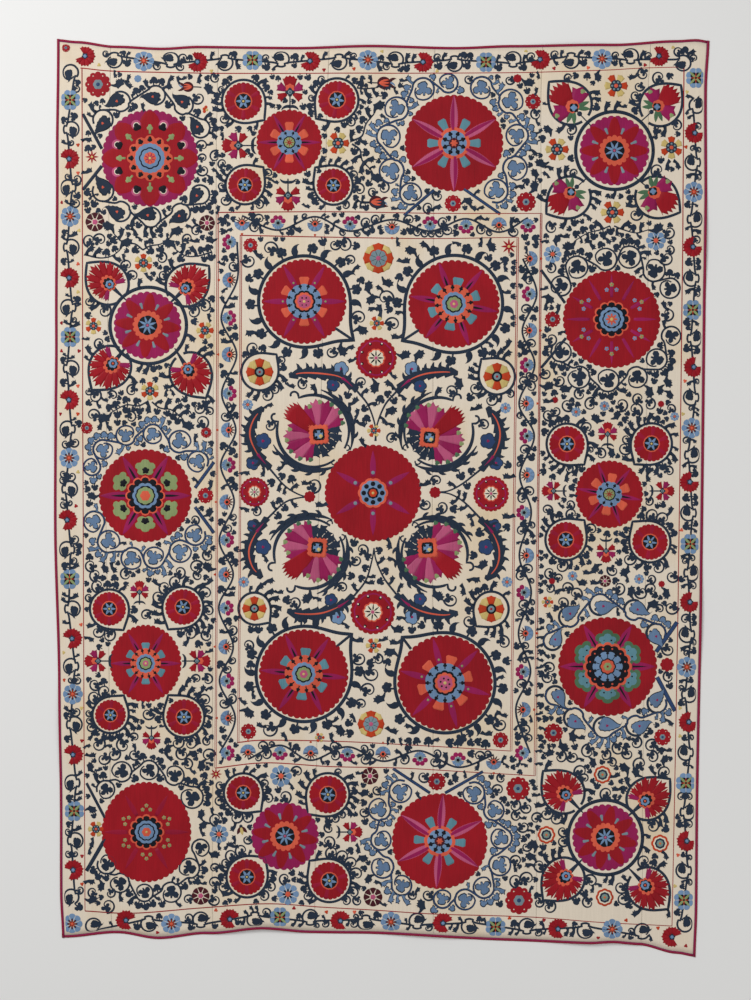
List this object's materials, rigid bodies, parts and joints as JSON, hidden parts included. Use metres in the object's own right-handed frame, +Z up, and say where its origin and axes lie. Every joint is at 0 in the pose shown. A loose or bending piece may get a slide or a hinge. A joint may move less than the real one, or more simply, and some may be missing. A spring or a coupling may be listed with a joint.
{
  "type": "suzani embroidered textile",
  "caption": "Large cotton hanging of narrow strips sewn side by side, silk embroidered with round medallions and vines, edged with a braid, lying flat face up.",
  "frame": {"origin": "on the surface it lies on, under the middle of its outline", "axes": "+Z up out of the embroidered face, +Y along the strips towards the top edge, +X to the right across the strips"},
  "size_m": [1.8355, 2.5701, 0.0099],
  "materials": {
    "ground_cloth": "matt plain weave",
    "edge_braid": "matt woven braid",
    "embroidery_silk": "satin laid silk thread"
  },
  "bodies": {
    "root": {"strip_1": "ground_cloth", "strip_2": "ground_cloth", "strip_3": "ground_cloth", "strip_4": "ground_cloth", "strip_5": "ground_cloth", "strip_6": "ground_cloth", "strip_7": "ground_cloth", "binding_top": "edge_braid", "binding_bottom": "edge_braid", "binding_left": "edge_braid", "binding_right": "edge_braid"}
  },
  "joints": []
}
